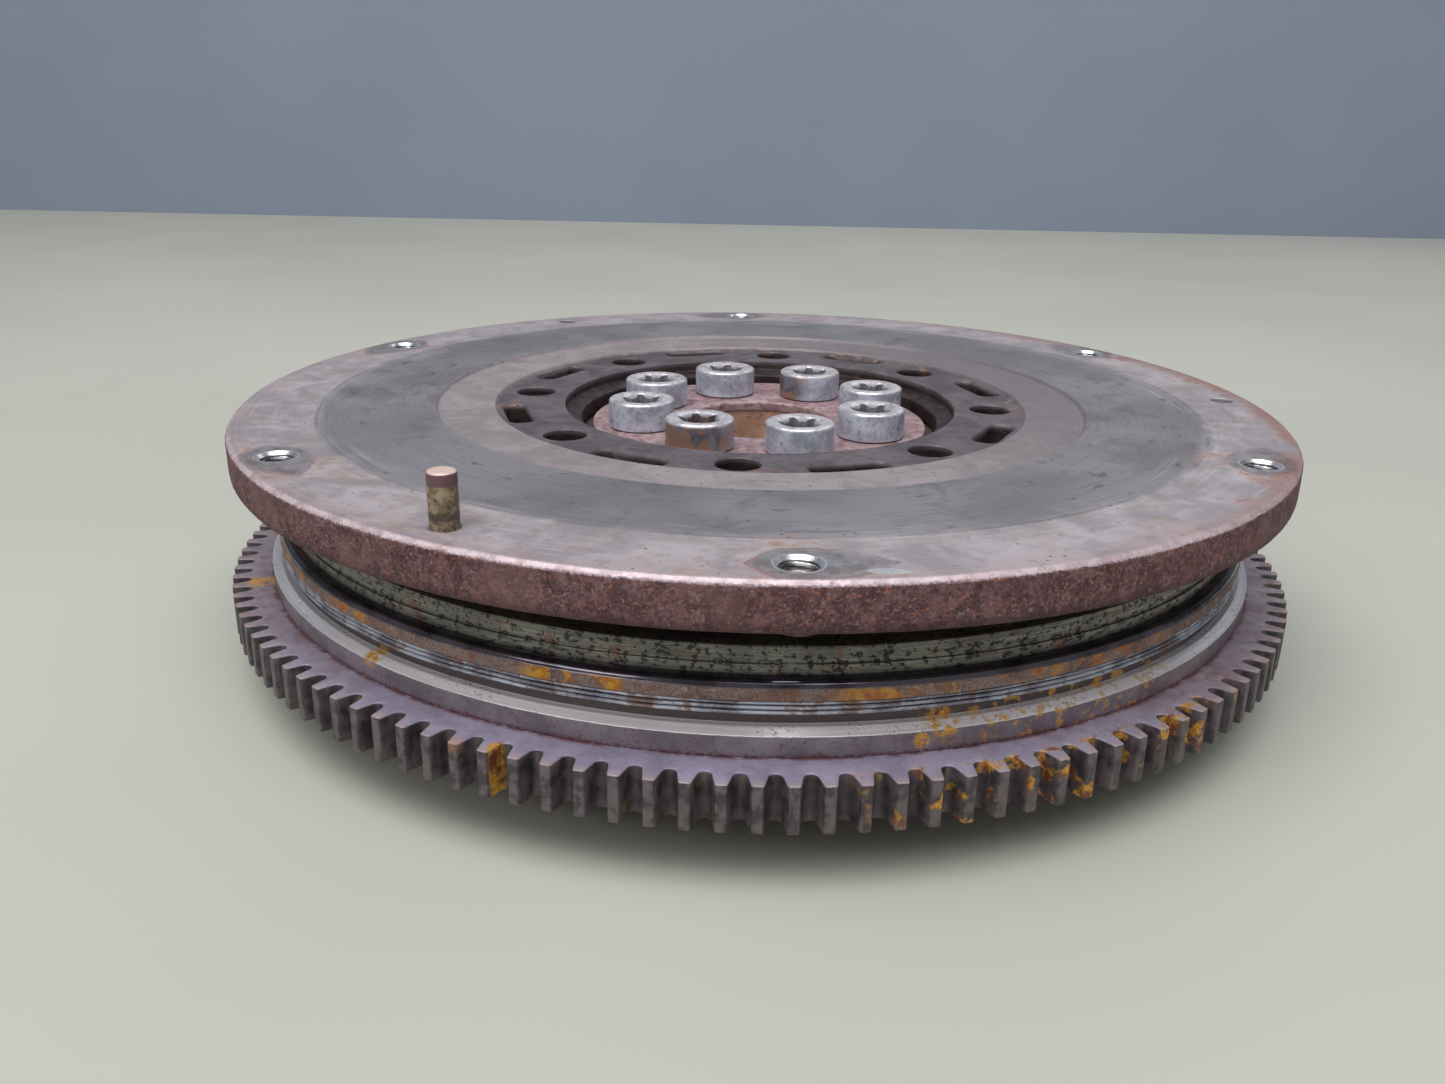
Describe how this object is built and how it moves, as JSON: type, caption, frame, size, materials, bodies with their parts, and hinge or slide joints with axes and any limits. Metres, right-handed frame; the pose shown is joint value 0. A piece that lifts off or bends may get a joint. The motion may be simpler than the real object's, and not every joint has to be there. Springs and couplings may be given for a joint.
{
  "type": "dual mass flywheel",
  "caption": "Dual-mass flywheel with starter ring gear, clutch friction face, dowel, hub bolts with lobed sockets and a sprung secondary disc.",
  "frame": {"origin": "centre of the face that seats on the crankshaft flange", "axes": "+Z along the crankshaft axis towards the clutch, X through the arc spring stops"},
  "size_m": [0.2872, 0.2872, 0.074],
  "materials": {
    "rusty_iron": "brown surface rust over cast iron",
    "machined_iron": "turned cast iron, oily grey",
    "gear_steel": "hardened steel, dark with light rust",
    "pressed_steel": "pressed steel with rust and oil",
    "weld_steel": "weld bead, dark",
    "bolt_zinc": "zinc plated, dull",
    "washer_steel": "light red-brown rust on steel",
    "hub_steel": "turned steel with orange-brown film",
    "spring_steel": "blued spring steel, greased",
    "bearing_steel": "ground bearing steel",
    "cage_brass": "machined brass",
    "dowel_steel": "stained steel",
    "friction_plastic": "glass filled polyamide"
  },
  "bodies": {
    "primary": {"primary_flywheel": "machined_iron", "grease_plugs": "pressed_steel", "ring_gear": "gear_steel", "primary_cover": "pressed_steel", "cover_weld": "weld_steel", "inertia_ring": "machined_iron", "channel_stops": "pressed_steel", "cover_stops": "pressed_steel", "spring_guides": "spring_steel", "outer_arc_springs": "spring_steel", "inner_arc_springs": "spring_steel", "bearing_hub": "hub_steel", "hub_pins": "bearing_steel", "washer_plate": "washer_steel", "crank_bolts": "bolt_zinc", "friction_washer": "friction_plastic", "friction_spring": "spring_steel", "friction_retainer": "pressed_steel", "bearing_inner_race": "bearing_steel"},
    "secondary": {"secondary_flywheel": "rusty_iron", "drive_flange": "pressed_steel", "flange_rivets": "pressed_steel", "sealing_membrane": "spring_steel", "bearing_outer_race": "bearing_steel", "bearing_shields": "pressed_steel", "bearing_circlip": "spring_steel", "friction_disc": "friction_plastic", "dowel_pin": "dowel_steel"},
    "ball_set": {"bearing_balls": "bearing_steel", "bearing_cage": "cage_brass"}
  },
  "joints": [
    {"name": "damper_twist", "type": "hinge", "parent": "primary", "child": "secondary", "pos_m": [0, 0, 0.028], "axis": [0, 0, 1], "range_deg": [-45, 45], "stiffness_Nm_per_rad": 170, "deforming": ["outer_arc_springs", "inner_arc_springs"]},
    {"name": "ball_set_spin", "type": "hinge", "parent": "primary", "child": "ball_set", "pos_m": [0, 0, 0.028], "axis": [0, 0, 1], "range_deg": [-22, 22]}
  ],
  "couplings": [
    {"joint": "ball_set_spin", "follows": "damper_twist", "ratio": 0.4759}
  ]
}
